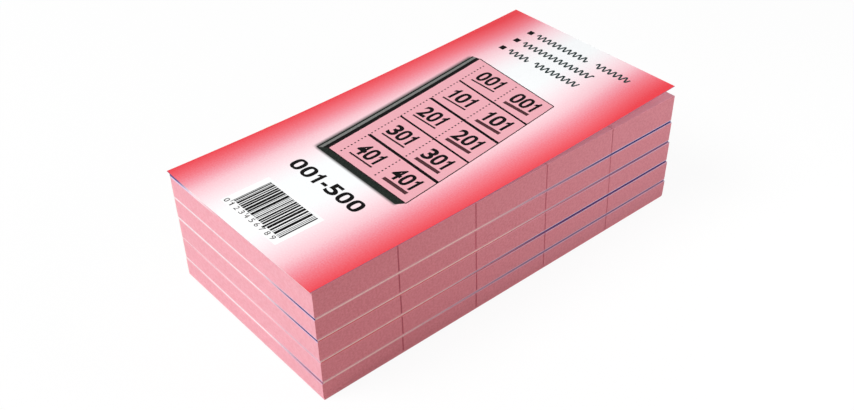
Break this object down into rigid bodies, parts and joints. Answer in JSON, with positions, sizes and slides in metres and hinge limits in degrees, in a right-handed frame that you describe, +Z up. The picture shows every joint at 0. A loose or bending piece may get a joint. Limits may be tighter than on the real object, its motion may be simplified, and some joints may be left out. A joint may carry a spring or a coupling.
{
  "type": "cloakroom ticket books",
  "caption": "Stack of glued cloakroom ticket books with printed card covers; the top book opens onto leaves slit into strips and perforated into ticket pairs.",
  "frame": {"origin": "middle of the lowest book's leaves, on the face that the stack rests on", "axes": "+X from the glued spine to the fore edge, +Y along the spine from the near end to the far end, +Z up"},
  "size_m": [0.0778, 0.151, 0.0459],
  "materials": {
    "cover_card": "thin card, printed red fading to white, satin",
    "ticket_paper": "uncoated pink paper",
    "board_card": "plain white board",
    "padding_glue": "dried padding glue, satin"
  },
  "bodies": {
    "book_1": {"book_1_board": "board_card", "book_1_leaves": "ticket_paper", "book_1_cover": "cover_card", "book_1_glue": "padding_glue"},
    "book_2": {"book_2_board": "board_card", "book_2_leaves": "ticket_paper", "book_2_cover": "cover_card", "book_2_glue": "padding_glue"},
    "book_3": {"book_3_board": "board_card", "book_3_leaves": "ticket_paper", "book_3_cover": "cover_card", "book_3_glue": "padding_glue"},
    "book_4": {"book_4_board": "board_card", "book_4_leaves": "ticket_paper", "book_4_cover": "cover_card", "book_4_glue": "padding_glue"},
    "book_5": {"book_5_board": "board_card", "book_5_leaves": "ticket_paper", "book_5_glue": "padding_glue", "top_leaf_stub": "ticket_paper"},
    "top_cover": {"book_5_cover": "cover_card"},
    "strip_1": {"inner_ticket_1": "ticket_paper"},
    "outer_1": {"outer_ticket_1": "ticket_paper"},
    "strip_2": {"inner_ticket_2": "ticket_paper"},
    "outer_2": {"outer_ticket_2": "ticket_paper"},
    "strip_3": {"inner_ticket_3": "ticket_paper"},
    "outer_3": {"outer_ticket_3": "ticket_paper"},
    "strip_4": {"inner_ticket_4": "ticket_paper"},
    "outer_4": {"outer_ticket_4": "ticket_paper"},
    "strip_5": {"inner_ticket_5": "ticket_paper"},
    "outer_5": {"outer_ticket_5": "ticket_paper"}
  },
  "joints": [
    {"name": "book_2_lift", "type": "slide", "parent": "book_1", "child": "book_2", "axis": [0, 0, 1], "range_m": [0, 0.04]},
    {"name": "book_3_lift", "type": "slide", "parent": "book_2", "child": "book_3", "axis": [0, 0, 1], "range_m": [0, 0.04]},
    {"name": "book_4_lift", "type": "slide", "parent": "book_3", "child": "book_4", "axis": [0, 0, 1], "range_m": [0, 0.04]},
    {"name": "book_5_lift", "type": "slide", "parent": "book_4", "child": "book_5", "axis": [0, 0, 1], "range_m": [0, 0.04]},
    {"name": "cover_turn", "type": "hinge", "parent": "book_5", "child": "top_cover", "pos_m": [-0.0385, 0, 0.04218], "axis": [0, -1, 0], "range_deg": [0, 170]},
    {"name": "strip_1_turn", "type": "hinge", "parent": "book_5", "child": "strip_1", "pos_m": [-0.0295, -0.06, 0.04198], "axis": [0, -1, 0], "range_deg": [0, 90]},
    {"name": "ticket_1_fold", "type": "hinge", "parent": "strip_1", "child": "outer_1", "pos_m": [0.0045, -0.06, 0.04198], "axis": [0, -1, 0], "range_deg": [0, 45]},
    {"name": "strip_2_turn", "type": "hinge", "parent": "book_5", "child": "strip_2", "pos_m": [-0.0295, -0.03, 0.04198], "axis": [0, -1, 0], "range_deg": [0, 90]},
    {"name": "ticket_2_fold", "type": "hinge", "parent": "strip_2", "child": "outer_2", "pos_m": [0.0045, -0.03, 0.04198], "axis": [0, -1, 0], "range_deg": [0, 45]},
    {"name": "strip_3_turn", "type": "hinge", "parent": "book_5", "child": "strip_3", "pos_m": [-0.0295, 0, 0.04198], "axis": [0, -1, 0], "range_deg": [0, 90]},
    {"name": "ticket_3_fold", "type": "hinge", "parent": "strip_3", "child": "outer_3", "pos_m": [0.0045, 0, 0.04198], "axis": [0, -1, 0], "range_deg": [0, 45]},
    {"name": "strip_4_turn", "type": "hinge", "parent": "book_5", "child": "strip_4", "pos_m": [-0.0295, 0.03, 0.04198], "axis": [0, -1, 0], "range_deg": [0, 90]},
    {"name": "ticket_4_fold", "type": "hinge", "parent": "strip_4", "child": "outer_4", "pos_m": [0.0045, 0.03, 0.04198], "axis": [0, -1, 0], "range_deg": [0, 45]},
    {"name": "strip_5_turn", "type": "hinge", "parent": "book_5", "child": "strip_5", "pos_m": [-0.0295, 0.06, 0.04198], "axis": [0, -1, 0], "range_deg": [0, 90]},
    {"name": "ticket_5_fold", "type": "hinge", "parent": "strip_5", "child": "outer_5", "pos_m": [0.0045, 0.06, 0.04198], "axis": [0, -1, 0], "range_deg": [0, 45]}
  ],
  "couplings": [
    {"joint": "strip_1_turn", "follows": "cover_turn", "ratio": 0.26},
    {"joint": "ticket_1_fold", "follows": "cover_turn", "ratio": 0.1},
    {"joint": "strip_2_turn", "follows": "cover_turn", "ratio": 0.32},
    {"joint": "ticket_2_fold", "follows": "cover_turn", "ratio": 0.13},
    {"joint": "strip_3_turn", "follows": "cover_turn", "ratio": 0.38},
    {"joint": "ticket_3_fold", "follows": "cover_turn", "ratio": 0.16},
    {"joint": "strip_4_turn", "follows": "cover_turn", "ratio": 0.44},
    {"joint": "ticket_4_fold", "follows": "cover_turn", "ratio": 0.19},
    {"joint": "strip_5_turn", "follows": "cover_turn", "ratio": 0.5},
    {"joint": "ticket_5_fold", "follows": "cover_turn", "ratio": 0.22}
  ]
}
